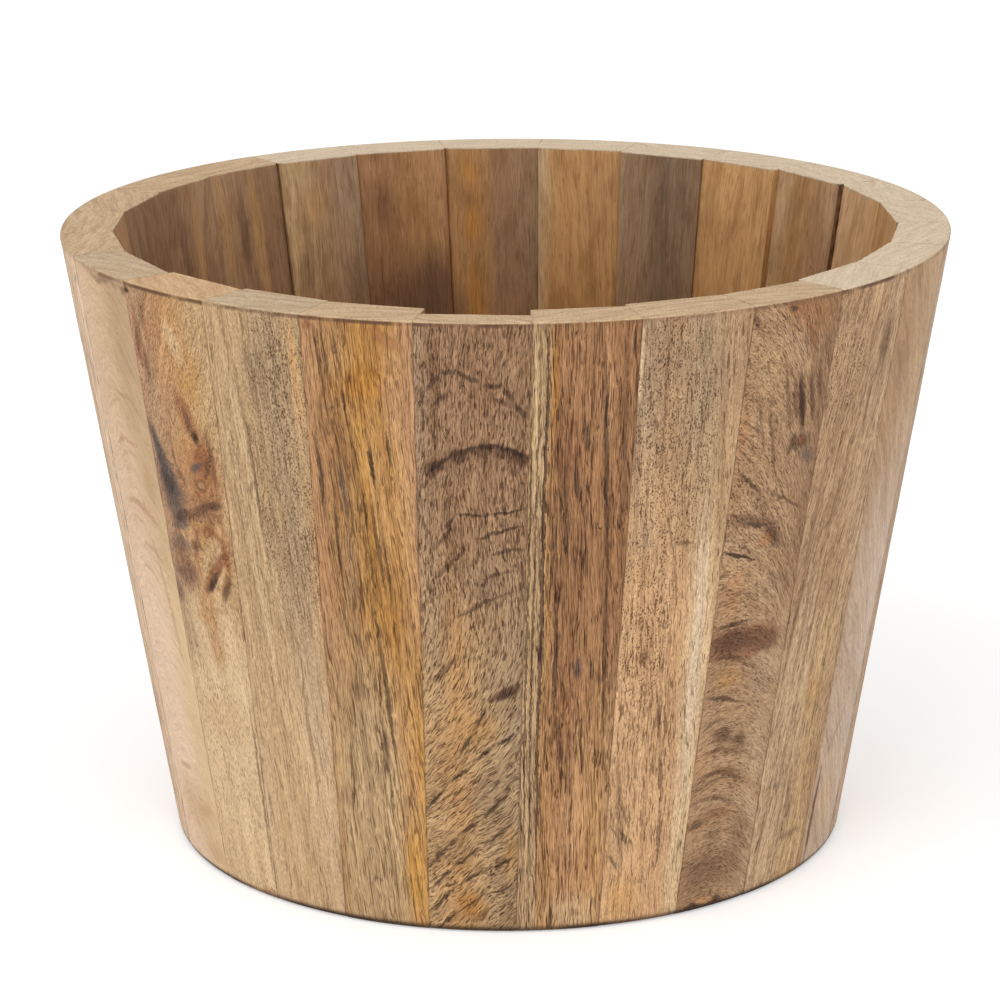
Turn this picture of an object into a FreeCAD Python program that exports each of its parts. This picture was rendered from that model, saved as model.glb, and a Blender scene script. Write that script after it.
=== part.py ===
import FreeCAD, Part
import math
import os

# A tapered round wooden pot. Upright staves are glued edge to edge and turned round on the outside,
# while their inner faces stay flat. A floor of tongued boards, thinned round its edge, sits in a groove
# cut round the staves.
# The origin is the centre of the foot, on the surface that the pot stands on. +Z is up.
# Angles go round from the front, -Y, towards +X.

Vector = FreeCAD.Vector

# Outer form
rim_radius = 125.0
foot_radius = 96.5
height = 176.0
rim_round = 0.8
foot_round = 1.5

# Staves: the wall is the usual thickness of a batten
wall = 16.0

# Seams between the staves, in degrees at the rim and at the foot. Seam n is at the left of stave n.
seam_degrees = [
    (-70.0, -70.5), (-54.0, -54.5), (-39.0, -41.5), (-25.0, -27.5), (-11.0, -13.0),
    (3.0, 1.0), (16.0, 14.5), (30.5, 28.0), (44.5, 42.0), (59.0, 58.0),
    (73.5, 71.5), (87.5, 86.0), (102.0, 100.0), (116.5, 114.5), (131.5, 130.0),
    (146.0, 144.0), (160.5, 158.5), (174.5, 173.0), (189.5, 187.5), (204.5, 202.5),
    (218.5, 217.0), (233.5, 231.5), (247.5, 246.0), (262.0, 260.0), (276.5, 275.0),
]

# Thickness of each stave, as a share of the wall
thickness_shares = [
    0.98, 1.04, 1.09, 1.00, 0.60,
    0.94, 1.05, 1.00, 1.06, 1.02,
    0.98, 1.00, 0.98, 1.02, 1.12,
    1.15, 1.02, 0.98, 1.00, 1.04,
    0.98, 1.00, 1.03, 1.00, 0.98,
]

# Floor: boards side by side along X. The thinned edge sits in the groove, and a slope leads up from it.
floor_lift = 8.0
floor_thickness = 12.0
floor_edge_thickness = 6.0
floor_board_count = 5
slope_clearance = 0.5
groove_depth = 9.0
groove_clearance = 0.3
tongue_length = 4.0
tongue_thickness = 3.0
tongue_clearance = 0.3

# Cutting shapes run past what they cut by this much
overrun = 5.0

# An edge within this much of a height is taken to lie at it
level_tolerance = 0.01

full_turn_degrees = 360.0


def outer_radius(z):
    """Radius of the turned outside at height z."""
    return foot_radius + (rim_radius - foot_radius) * z / height


def polar(radius, degrees, z):
    """Point at a radius and an angle from the front."""
    angle = math.radians(degrees)
    return Vector(radius * math.sin(angle), -radius * math.cos(angle), z)


def seam_line(seam, z):
    """Where a seam's plane crosses height z: its point nearest to the axis, and its way out.

    The plane holds the seam's ends on the outside and the middle of the pot's axis.
    """
    rim_degrees, foot_degrees = seam
    centre = Vector(0, 0, height / 2)
    rim_arm = polar(rim_radius, rim_degrees, height) - centre
    foot_arm = polar(foot_radius, foot_degrees, 0) - centre
    normal = rim_arm.cross(foot_arm)
    level = Vector(normal.x, normal.y, 0)
    start = level * (-normal.z * (z - centre.z) / level.dot(level))
    way = Vector(-normal.y, normal.x, 0).normalize()
    if way.dot(rim_arm) < 0:
        way = way * -1
    return Vector(start.x, start.y, z), way


def wedge_corner(seam, z, facing, distance):
    """Point at height z on a seam's plane, at a distance from the axis along facing."""
    start, way = seam_line(seam, z)
    return start + way * ((distance - start.dot(facing)) / way.dot(facing))


def wedge(left, right, thickness):
    """Six-sided block that holds one stave: two seam planes, the flat inner face and room outside."""
    middle = (sum(left) + sum(right)) / (len(left) + len(right))
    facing = polar(1, middle, 0)
    corners = []
    for z in (-overrun, height + overrun):
        inside = outer_radius(z) - thickness
        outside = outer_radius(z) + overrun
        corners.append([
            wedge_corner(left, z, facing, inside),
            wedge_corner(right, z, facing, inside),
            wedge_corner(right, z, facing, outside),
            wedge_corner(left, z, facing, outside),
        ])
    low, high = corners
    outlines = [low, high]
    for first, second in ((0, 1), (1, 2), (2, 3), (3, 0)):
        outlines.append([low[first], low[second], high[second]])
        outlines.append([low[first], high[second], high[first]])
    faces = [Part.Face(Part.makePolygon(points + points[:1])) for points in outlines]
    return Part.Solid(Part.Shell(faces)).removeSplitter()


def edges_at(solid, z):
    """Edges of a solid that lie level at height z."""
    return [edge for edge in solid.Edges
            if abs(edge.BoundBox.ZMin - z) + abs(edge.BoundBox.ZMax - z) < level_tolerance]


def turned_cone():
    """The outside of the pot, turned round, with its rim and foot edges eased."""
    cone = Part.makeCone(foot_radius, rim_radius, height)
    cone = cone.makeFillet(rim_round, edges_at(cone, height))
    return cone.makeFillet(foot_round, edges_at(cone, 0))


def groove_radius():
    """Radius of the groove's bottom, cut from a stave of the usual thickness."""
    return outer_radius(floor_lift) - wall + groove_depth


def floor_disc():
    """The whole floor before it is divided into boards."""
    radius = groove_radius() - groove_clearance
    edge_top = floor_lift + floor_edge_thickness
    floor_top = floor_lift + floor_thickness
    slope_foot = outer_radius(edge_top) - wall * max(thickness_shares) - slope_clearance
    slope_top = slope_foot - (floor_top - edge_top)
    outline = [
        Vector(0, 0, floor_lift),
        Vector(radius, 0, floor_lift),
        Vector(radius, 0, edge_top),
        Vector(slope_foot, 0, edge_top),
        Vector(slope_top, 0, floor_top),
        Vector(0, 0, floor_top),
    ]
    half_section = Part.Face(Part.makePolygon(outline + outline[:1]))
    return half_section.revolve(Vector(0, 0, 0), Vector(0, 0, 1), full_turn_degrees)


def make_staves():
    """Every stave, by node name."""
    cone = turned_cone()
    groove_width = floor_edge_thickness + groove_clearance
    groove = Part.makeCylinder(groove_radius(), groove_width, Vector(0, 0, floor_lift))
    staves = {}
    first_rim, first_foot = seam_degrees[0]
    closing_seam = (first_rim + full_turn_degrees, first_foot + full_turn_degrees)
    right_seams = seam_degrees[1:] + [closing_seam]
    for index, (left, right, share) in enumerate(zip(seam_degrees, right_seams, thickness_shares)):
        block = wedge(left, right, wall * share)
        staves[f"stave_{index + 1:02d}"] = cone.common(block).cut(groove)
    return staves


def make_floor():
    """Every floor board, by node name, with a tongue on its right side and a slot on its left."""
    radius = groove_radius() - groove_clearance
    disc = floor_disc()
    length = 2 * radius
    width = length / floor_board_count
    tongue_z = floor_lift + (floor_edge_thickness - tongue_thickness) / 2
    slot_depth = tongue_length + tongue_clearance
    boards = {}
    for index in range(floor_board_count):
        left = index * width - radius
        board = Part.makeBox(width, length, floor_thickness, Vector(left, -radius, floor_lift))
        if index < floor_board_count - 1:
            tongue_corner = Vector(left + width, -radius, tongue_z)
            board = board.fuse(Part.makeBox(tongue_length, length, tongue_thickness, tongue_corner))
        if index > 0:
            slot_corner = Vector(left, -radius, tongue_z)
            board = board.cut(Part.makeBox(slot_depth, length, tongue_thickness, slot_corner))
        boards[f"floor_board_{index + 1}"] = disc.common(board).removeSplitter()
    return boards


os.makedirs("parts", exist_ok=True)
nodes = {**make_staves(), **make_floor()}
for name, shape in nodes.items():
    solid = shape.Solids[0]
    solid.exportStep(f"parts/{name}.step")
    print(f"{name}: {len(shape.Solids)} solid, valid {solid.isValid()}, {solid.Volume / 1000:.1f} cm3")
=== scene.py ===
import math
from dataclasses import dataclass
from functools import partial, partialmethod, reduce
import bpy
from mathutils import Euler, Matrix, Vector, noise


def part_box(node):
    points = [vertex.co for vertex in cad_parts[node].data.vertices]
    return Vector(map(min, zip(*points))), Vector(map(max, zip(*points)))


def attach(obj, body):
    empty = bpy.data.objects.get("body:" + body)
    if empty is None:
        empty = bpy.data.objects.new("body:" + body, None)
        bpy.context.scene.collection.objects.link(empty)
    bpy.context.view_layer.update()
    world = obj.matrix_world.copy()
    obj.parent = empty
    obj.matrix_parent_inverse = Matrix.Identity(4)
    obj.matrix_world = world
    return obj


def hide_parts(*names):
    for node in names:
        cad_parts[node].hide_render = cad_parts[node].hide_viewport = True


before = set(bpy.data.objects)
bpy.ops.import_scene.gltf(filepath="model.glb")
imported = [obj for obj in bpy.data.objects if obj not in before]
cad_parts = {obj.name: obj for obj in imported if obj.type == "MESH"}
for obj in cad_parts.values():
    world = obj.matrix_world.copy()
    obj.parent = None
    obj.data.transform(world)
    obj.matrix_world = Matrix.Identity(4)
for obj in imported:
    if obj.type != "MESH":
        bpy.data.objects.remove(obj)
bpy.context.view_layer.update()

# The turned wooden pot. Every stave gets a finer mesh and its own wood, laid out one by one.
# Lengths are in metres, apart from what the wood shows, whose sizes are in millimetres.
# Angles go round from the front, -Y, towards +X. A height share runs from 0 at the foot to 1 at the rim.

MM = 0.001

# Outer form and staves, as in the solids
RIM_RADIUS = 0.125
FOOT_RADIUS = 0.0965
HEIGHT = 0.176
RIM_ROUND = 0.0008
FOOT_ROUND = 0.0015
WALL = 0.016
SEAM_DEGREES = [
    (-70.0, -70.5), (-54.0, -54.5), (-39.0, -41.5), (-25.0, -27.5), (-11.0, -13.0),
    (3.0, 1.0), (16.0, 14.5), (30.5, 28.0), (44.5, 42.0), (59.0, 58.0),
    (73.5, 71.5), (87.5, 86.0), (102.0, 100.0), (116.5, 114.5), (131.5, 130.0),
    (146.0, 144.0), (160.5, 158.5), (174.5, 173.0), (189.5, 187.5), (204.5, 202.5),
    (218.5, 217.0), (233.5, 231.5), (247.5, 246.0), (262.0, 260.0), (276.5, 275.0),
]
THICKNESS_SHARES = [
    0.98, 1.04, 1.09, 1.00, 0.60,
    0.94, 1.05, 1.00, 1.06, 1.02,
    0.98, 1.00, 0.98, 1.02, 1.12,
    1.15, 1.02, 0.98, 1.00, 1.04,
    0.98, 1.00, 1.03, 1.00, 0.98,
]

# The groove that holds the floor
GROOVE_LOW = 0.008
GROOVE_HIGH = 0.0143
GROOVE_DEPTH = 0.009

# Floor boards, and the length of the tongue on the right of all but the last
FLOOR_BOARD_COUNT = 5
FLOOR_TONGUE = 0.004

TILT = math.atan((RIM_RADIUS - FOOT_RADIUS) / HEIGHT)
STAVE_COUNT = len(SEAM_DEGREES)


def smooth(value, low, high):
    """0 below low, 1 above high, and a soft step between."""
    share = min(1.0, max(0.0, (value - low) / (high - low)))
    return share * share * (3 - 2 * share)


def outer_radius(z):
    """Radius of the turned cone at height z, with no edge eased."""
    return FOOT_RADIUS + (RIM_RADIUS - FOOT_RADIUS) * z / HEIGHT


def polar(radius, degrees, z):
    """Point at a radius and an angle from the front."""
    angle = math.radians(degrees)
    return Vector((radius * math.sin(angle), -radius * math.cos(angle), z))


GROOVE_RADIUS = outer_radius(GROOVE_LOW) - WALL + GROOVE_DEPTH


class Seam:
    """The plane between two staves, through the seam's ends and the middle of the pot's axis."""

    def __init__(self, rim_degrees, foot_degrees):
        self.centre = Vector((0, 0, HEIGHT / 2))
        rim_arm = polar(RIM_RADIUS, rim_degrees, HEIGHT) - self.centre
        foot_arm = polar(FOOT_RADIUS, foot_degrees, 0) - self.centre
        self.normal = rim_arm.cross(foot_arm).normalized()
        self.way = Vector((-self.normal.y, self.normal.x, 0)).normalized()
        if self.way.dot(rim_arm) < 0:
            self.way.negate()

    def start(self, z):
        """The seam's nearest point to the axis at height z."""
        level = Vector((self.normal.x, self.normal.y, 0))
        point = level * (-self.normal.z * (z - self.centre.z) / level.dot(level))
        return Vector((point.x, point.y, z))

    def at_radius(self, radius, z):
        """The seam's point at a radius and height."""
        start = self.start(z)
        flat = Vector((start.x, start.y, 0))
        along = flat.dot(self.way)
        return start + self.way * (math.sqrt(along * along - flat.dot(flat) + radius * radius) - along)

    def at_distance(self, facing, distance, z):
        """The seam's point at height z whose distance from the axis along facing is given."""
        start = self.start(z)
        return start + self.way * ((distance - start.dot(facing)) / self.way.dot(facing))


class Stave:
    """One stave's outline, and the frame that its wood is laid out in.

    The wood's frame has X across the stave, Y into the wood and Z up along the outer face.
    """

    def __init__(self, number):
        left = SEAM_DEGREES[number - 1]
        right = SEAM_DEGREES[number % STAVE_COUNT]
        if number == STAVE_COUNT:
            right = tuple(degrees + 360 for degrees in right)
        self.number = number
        self.left = Seam(*left)
        self.right = Seam(*right)
        self.middle = (sum(left) + sum(right)) / 4
        self.facing = polar(1, self.middle, 0)
        self.thickness = WALL * THICKNESS_SHARES[number - 1]
        self.location = polar(FOOT_RADIUS, self.middle, 0)
        self.rotation = Euler((TILT, 0, math.radians(self.middle)), "XYZ")
        self.to_local = self.rotation.to_matrix().transposed()

    def local(self, point):
        """A point in the wood's frame, in millimetres."""
        return (self.to_local @ (point - self.location)) / MM

    def spot(self, degrees, share, inside=False):
        """Point in the wood's frame at an angle and a height share, on the outside or the inner face."""
        z = share * HEIGHT
        return self.local(polar(outer_radius(z) - inside * self.thickness, degrees, z))

    def planes(self):
        """Both seam planes in the wood's frame, each as a normal that points into the stave and an offset."""
        for seam, sign in ((self.left, 1), (self.right, -1)):
            normal = self.to_local @ (seam.normal * sign)
            if normal.x * sign < 0:
                normal.negate()
            yield normal, normal.dot(self.local(seam.centre))

    def outer(self, share, z, radius):
        """Point on the outside, at a share of the way from the left seam to the right one."""
        ends = (seam.at_radius(radius, z) for seam in (self.left, self.right))
        first, last = (math.degrees(math.atan2(end.x, -end.y)) for end in ends)
        return polar(radius, first + (last - first) % 360 * share, z)

    def inner(self, share, z):
        """Point on the flat inner face."""
        distance = outer_radius(z) - self.thickness
        left, right = (seam.at_distance(self.facing, distance, z) for seam in (self.left, self.right))
        return left.lerp(right, share)


class Board:
    """One floor board, and the frame that its wood is laid out in: X across, Y down, Z along the board."""

    thickness = 0.0

    def __init__(self, number):
        low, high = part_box(f"floor_board_{number}")
        self.number = STAVE_COUNT + number
        self.location = Vector(((low.x + high.x) / 2, 0, high.z))
        self.rotation = Euler((-math.pi / 2, 0, 0), "XYZ")
        self.half_width = (high.x - low.x) / MM / 2
        self.tongue = FLOOR_TONGUE / MM if number < FLOOR_BOARD_COUNT else 0.0

    def planes(self):
        """The board's left and right edges, in the same form as a stave's planes."""
        yield Vector((1, 0, 0)), -self.half_width
        yield Vector((-1, 0, 0)), self.tongue - self.half_width


# Lattice of a stave's mesh: shares across, shares through the wall, and heights
ACROSS_SHARES = [0, .008, .02, .045] + [.08 + .84 * i / 20 for i in range(21)] + [.955, .98, .992, 1]
THROUGH_SHARES = [0, .04, .12, .26, .44, .62, .8, .96, 1]
LOW_ROWS = [0, .0003, .0008, .0015, .0028, .0050, GROOVE_LOW, .0095, .0110, .0127, GROOVE_HIGH]
HIGH_ROWS = [HEIGHT - below for below in (.0028, .0016, .0010, .0006, .0003, .0001, 0)]
ROW_STEP = 0.0016
ROW_COUNT = round((HIGH_ROWS[0] - GROOVE_HIGH) / ROW_STEP)
MIDDLE_ROWS = [GROOVE_HIGH + (HIGH_ROWS[0] - GROOVE_HIGH) * i / ROW_COUNT for i in range(1, ROW_COUNT)]
ROWS = LOW_ROWS + MIDDLE_ROWS + HIGH_ROWS
GROOVE_ROWS = range(LOW_ROWS.index(GROOVE_LOW), LOW_ROWS.index(GROOVE_HIGH))
TOP_ROW = len(ROWS) - 1
ACROSS = len(ACROSS_SHARES) - 1
THROUGH = len(THROUGH_SHARES) - 1

# How rough the worked surfaces are, each as a depth and the size of its bumps
SANDING_DEPTH, SANDING_SIZE, SANDING_FINE_SIZE = 0.00010, 0.011, 0.0035
SAW_DEPTH, SAW_SIZE, SAW_PITCH, SAW_DRIFT_SIZE = 0.00012, 0.004, 0.0021, 0.02
END_DEPTH, END_SIZE, END_WIDE_SIZE = 0.00010, 0.0016, 0.006
RAGGED_DEPTH, RAGGED_SIZE, RAGGED_REACH = 0.00035, 0.0009, 0.002
END_SEAM_DEPTH, END_SEAM_REACH = 0.00004, 0.0006
SEAM_REACH, SEAM_SIZE, SEAM_GAIN = 0.0005, 0.009, 1.6
SKIN, FOOT_SIZE, FOOT_WEAR_SIZE = 0.00006, 0.003, 0.02
SHARP_DEGREES = 38
# Steps between the places that two seeds take their bumps from
SEED_STEPS = (7.3, 3.1, 5.7)

# Depth of a seam outside and inside: a closed one, and those that have opened, by the stave on their right
CLOSED_SEAM = (.00016, .00016)
OPEN_SEAMS = {
    3: (.0003, .0002), 10: (.0004, .0002), 14: (.0002, .0016), 19: (.0002, .0008), 21: (.0002, .0008),
}


def eased_radius(z, rim_round, foot_round):
    """Outer radius at height z, with the rim and foot edges rounded over."""
    radius = outer_radius(z) - SKIN
    above = z - (HEIGHT - rim_round)
    if above > 0:
        radius -= rim_round - math.sqrt(max(0, rim_round ** 2 - above ** 2))
    below = foot_round - z
    if below > 0:
        radius -= foot_round - math.sqrt(max(0, foot_round ** 2 - below ** 2))
    return radius


def bumps(point, size, seed):
    """Gentle noise from 0 to 1 at a point, with features of about the given size."""
    return 0.5 + 0.5 * noise.noise(point / size + Vector([seed * step for step in SEED_STEPS]))


class StaveMesh:
    """A closed mesh of one stave, with its worked surfaces and worn edges.

    It stands on a lattice: i counts across the stave, j through the wall from outside, and k upwards.
    """

    def __init__(self, stave):
        self.stave = stave
        self.seed = stave.number
        self.openings = [OPEN_SEAMS.get(self.seed, CLOSED_SEAM),
                         OPEN_SEAMS.get(self.seed % STAVE_COUNT + 1, CLOSED_SEAM)]
        self.foot_round = FOOT_ROUND * (0.5 + 1.2 * bumps(stave.location, FOOT_WEAR_SIZE, 3))
        self.vertices, self.faces, self.index_of = [], [], {}

    def depth_share(self, j, k, outer, inner):
        """How far through the wall a lattice point lies. The groove is left out."""
        deep = THROUGH_SHARES[j]
        if GROOVE_ROWS.start <= k <= GROOVE_ROWS.stop and j < THROUGH:
            across_wall = Vector((inner.x - outer.x, inner.y - outer.y, 0)).length
            reach = (Vector((outer.x, outer.y, 0)).length - GROOVE_RADIUS) / across_wall
            deep = deep / THROUGH_SHARES[THROUGH - 1] * reach
        return deep

    def sanded(self, point, from_seams):
        """Depth of the sanding at a point of the outside, with the hollows along the seams."""
        seed = self.seed
        depth = SANDING_DEPTH * bumps(point, SANDING_SIZE, seed)
        depth += SANDING_DEPTH * 0.5 * bumps(point, SANDING_FINE_SIZE, seed)
        for side, away in enumerate(from_seams):
            hollow = self.openings[side][0] * bumps(point, SEAM_SIZE, seed + 40 + side) * SEAM_GAIN
            depth += hollow * (1 - smooth(away, 0, SEAM_REACH))
        return depth

    def sawn(self, point, z, from_seams):
        """Depth of the saw's marks at a point of the inner face, with the open seams and the ragged rim."""
        seed = self.seed
        strokes = 0.5 + 0.5 * math.sin(z / SAW_PITCH + 4 * bumps(point, SAW_DRIFT_SIZE, seed))
        depth = SAW_DEPTH * (0.6 * strokes + bumps(point, SAW_SIZE, seed + 20))
        for side, away in enumerate(from_seams):
            opening = self.openings[side][1]
            depth += opening * (1 - smooth(away, 0, SEAM_REACH + opening))
        ragged = smooth(z, HEIGHT - RAGGED_REACH, HEIGHT)
        return depth + RAGGED_DEPTH * ragged * bumps(point, RAGGED_SIZE, seed + 30) ** 2

    def place(self, i, j, k):
        """Where a lattice point lies."""
        stave, share, z = self.stave, ACROSS_SHARES[i], ROWS[k]
        outer = stave.outer(share, z, eased_radius(z, RIM_ROUND, self.foot_round))
        inner = stave.inner(share, z)
        into = (inner - outer).normalized()
        width = (stave.inner(1, z) - stave.inner(0, z)).length
        from_seams = (share * width, (1 - share) * width)
        point = outer.lerp(inner, self.depth_share(j, k, outer, inner))
        if j == 0:
            point = point + into * self.sanded(point, from_seams)
        if j == THROUGH:
            point = point - into * self.sawn(point, z, from_seams)
        if k == TOP_ROW:
            wear = bumps(point, END_SIZE, self.seed + 50) + bumps(point, END_WIDE_SIZE, self.seed + 51)
            near_seam = 1 - smooth(min(from_seams), 0, END_SEAM_REACH)
            point.z -= END_DEPTH * wear + END_SEAM_DEPTH * near_seam
        if k == 0:
            point.z += SKIN * bumps(point, FOOT_SIZE, self.seed + 60)
        return point

    def quad(self, *corners):
        """Add a face between four lattice points."""
        for corner in corners:
            if corner not in self.index_of:
                self.index_of[corner] = len(self.vertices)
                self.vertices.append(self.place(*corner))
        self.faces.append([self.index_of[corner] for corner in corners])

    def build(self):
        """The finished mesh."""
        for k in range(TOP_ROW):
            last = THROUGH - 1 if k in GROOVE_ROWS else THROUGH
            for i in range(ACROSS):
                self.quad((i, 0, k), (i + 1, 0, k), (i + 1, 0, k + 1), (i, 0, k + 1))
                self.quad((i, last, k), (i, last, k + 1), (i + 1, last, k + 1), (i + 1, last, k))
            for j in range(last):
                self.quad((0, j, k), (0, j, k + 1), (0, j + 1, k + 1), (0, j + 1, k))
                self.quad((ACROSS, j, k), (ACROSS, j + 1, k), (ACROSS, j + 1, k + 1), (ACROSS, j, k + 1))
        for i in range(ACROSS):
            for j in range(THROUGH):
                self.quad((i, j, 0), (i, j + 1, 0), (i + 1, j + 1, 0), (i + 1, j, 0))
                self.quad((i, j, TOP_ROW), (i + 1, j, TOP_ROW), (i + 1, j + 1, TOP_ROW), (i, j + 1, TOP_ROW))
            shelf, roof, last = GROOVE_ROWS.start, GROOVE_ROWS.stop, THROUGH - 1
            self.quad((i, last, shelf), (i + 1, last, shelf), (i + 1, THROUGH, shelf), (i, THROUGH, shelf))
            self.quad((i, last, roof), (i, THROUGH, roof), (i + 1, THROUGH, roof), (i + 1, last, roof))
        mesh = bpy.data.meshes.new(f"stave_{self.seed:02d}_wood")
        mesh.from_pydata([tuple(v) for v in self.vertices], [], self.faces)
        mesh.validate()
        mesh.shade_smooth()
        mesh.set_sharp_from_angle(angle=math.radians(SHARP_DEGREES))
        return mesh


def paint(red, green, blue):
    """A colour given in screen values from 0 to 255, as linear light."""
    def linear(value):
        value /= 255
        return value / 12.92 if value <= 0.04045 else ((value + 0.055) / 1.055) ** 2.4
    return (linear(red), linear(green), linear(blue), 1.0)


# Palette, in screen values
PALE_PEACH = paint(236, 206, 176)
PEACH = paint(222, 190, 156)
BUFF = paint(214, 182, 144)
FAWN = paint(198, 166, 130)
PINK_TAN = paint(190, 146, 114)
CREAM = paint(226, 196, 154)
SAND = paint(210, 176, 134)
WARM_SAND = paint(212, 170, 126)
STRAW = paint(202, 168, 124)
KHAKI = paint(190, 158, 118)
KHAKI_GREY = paint(176, 148, 114)
HONEY = paint(200, 154, 102)
LIGHT_HONEY = paint(208, 162, 108)
GOLD = paint(192, 142, 78)
DEEP_GOLD = paint(184, 124, 50)
YELLOW_GOLD = paint(208, 156, 80)
OCHRE = paint(182, 138, 90)
TAN = paint(184, 148, 112)
ORANGE_TAN = paint(186, 138, 98)
APRICOT = paint(194, 148, 106)
GREY_TAN = paint(172, 144, 114)
GREY_BROWN = paint(156, 126, 96)
DUSK = paint(134, 110, 88)
HAZEL = paint(164, 120, 82)
CHESTNUT = paint(174, 124, 84)
RED_BROWN = paint(148, 104, 76)
RUSSET = paint(174, 120, 78)
RUST = paint(146, 92, 60)
BROWN = paint(162, 126, 94)
EARTH = paint(130, 98, 72)
UMBER = paint(96, 66, 48)
SLATE = paint(98, 84, 78)
DARK = paint(60, 41, 31)
SOOT = paint(38, 28, 24)
ASH = paint(198, 170, 144)
ASH_PALE = paint(212, 190, 168)
END_PALE = paint(228, 208, 180)
END_WOOD = paint(208, 184, 152)
END_TAN = paint(218, 188, 150)
END_DARK = paint(180, 148, 112)
END_ORANGE = paint(224, 186, 142)
END_RUST = paint(190, 148, 108)
END_GREY = paint(212, 188, 156)

# What the deeper, greyer, lightest and darkest parts of any wood are multiplied by
DEEPER = (0.66, 0.56, 0.47, 1)
GREYER = (0.74, 0.76, 0.80, 1)
LIGHTEST = (1.50, 1.54, 1.58, 1)
DARKEST = (0.46, 0.40, 0.35, 1)
PORE = (0.22, 0.165, 0.13, 1)
# What the inner face is multiplied by deeper in the pot: painted shade
POT_PAINTED_SHADE = (0.65, 0.53, 0.37, 1)


class Graph:
    """Short ways to add nodes to a material."""

    def __init__(self, tree):
        self.tree = tree

    def add(self, kind, inputs, out=0, **settings):
        node = self.tree.nodes.new(kind)
        for name, value in settings.items():
            setattr(node, name, value)
        for key, value in inputs.items():
            if isinstance(value, bpy.types.NodeSocket):
                self.tree.links.new(value, node.inputs[key])
            else:
                node.inputs[key].default_value = value
        return node.outputs[out]

    def math(self, operation, *values):
        return self.add("ShaderNodeMath", dict(enumerate(values)), operation=operation)

    plus = partialmethod(math, "ADD")
    minus = partialmethod(math, "SUBTRACT")
    times = partialmethod(math, "MULTIPLY")
    times_plus = partialmethod(math, "MULTIPLY_ADD")

    def vector(self, operation, *values, out=0):
        return self.add("ShaderNodeVectorMath", dict(enumerate(values)), out=out, operation=operation)

    def mix(self, factor, first, second, blend="MIX"):
        return self.add("ShaderNodeMix", {0: factor, 6: first, 7: second}, out=2,
                        data_type="RGBA", blend_type=blend, clamp_factor=True)

    def tint(self, factor, color, by):
        """Colour multiplied by another, as far as factor says."""
        return self.mix(factor, color, by, "MULTIPLY")

    def span(self, value, low, high, start=0.0, end=1.0, kind="LINEAR"):
        """A straight line of value from low to high, leading from start to end, and level outside."""
        return self.add("ShaderNodeMapRange", {"Value": value, "From Min": low, "From Max": high,
                                               "To Min": start, "To Max": end}, interpolation_type=kind)

    def step(self, value, low, high, start=0.0, end=1.0):
        """A soft step of value from low to high, leading from start to end."""
        return self.span(value, low, high, start, end, "SMOOTHSTEP")

    def stretch(self, vector, across, along, shift=0.0):
        """Coordinates in which a feature that is across wide and along long has the size 1."""
        return self.add("ShaderNodeMapping", {"Vector": vector, "Location": (shift, shift * 2, shift * 3),
                                              "Scale": (1 / across, 1 / across, 1 / along)})

    def framed(self, vector, place, rotation, size):
        """Coordinates in a turned frame at a place, whose unit is size."""
        return self.add("ShaderNodeMapping", {"Vector": vector, "Location": place, "Rotation": rotation,
                                              "Scale": size}, vector_type="TEXTURE")

    def noise(self, vector, size=None, seed=0.0, detail=2.0, rough=0.5, out="Fac"):
        """Noise from 0 to 1, whose features have a size across and along."""
        vector = self.stretch(vector, *size, seed) if size else vector
        inputs = {"Vector": vector, "Scale": 1.0, "Detail": detail, "Roughness": rough}
        return self.add("ShaderNodeTexNoise", inputs, out=out)

    def shake(self, vector, size, reach, seed, base=None):
        """Coordinates, or a base, shaken by noise of a size across and along, as far as half the reach."""
        reach = (reach[0], *reach) if isinstance(reach, tuple) else reach
        push = self.vector("SUBTRACT", self.noise(vector, size, seed, out="Color"), (0.5, 0.5, 0.5))
        return self.vector("MULTIPLY_ADD", push, reach, base or vector)

    def ramp(self, value, stops):
        """Colour along a value, from a list of places and colours."""
        node = self.tree.nodes.new("ShaderNodeValToRGB")
        self.tree.links.new(value, node.inputs[0])
        elements = node.color_ramp.elements
        while len(elements) < len(stops):
            elements.new(1.0)
        for element, (position, color) in zip(elements, stops):
            element.position = position
            element.color = color
        return node.outputs[0]

    def split(self, vector):
        node = self.tree.nodes.new("ShaderNodeSeparateXYZ")
        self.tree.links.new(vector, node.inputs[0])
        return node.outputs

    def join(self, x, y, z):
        return self.add("ShaderNodeCombineXYZ", {0: x, 1: y, 2: z})


# A streak fades out this much beyond its ends, as a share of its length from its middle
STREAK_REACH = 0.62
# A mark's half size through the wood, in mm: it has no end there
MARK_DEPTH = 1e6


def fill(values, defaults):
    """Values, with defaults for those that are missing at the end."""
    return (*values, *defaults[len(values):])


def path(points, *rest):
    """A wandering streak, as the rows of straight ones from point to point."""
    return [(*start, *end, *rest) for start, end in zip(points, points[1:])]


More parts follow.
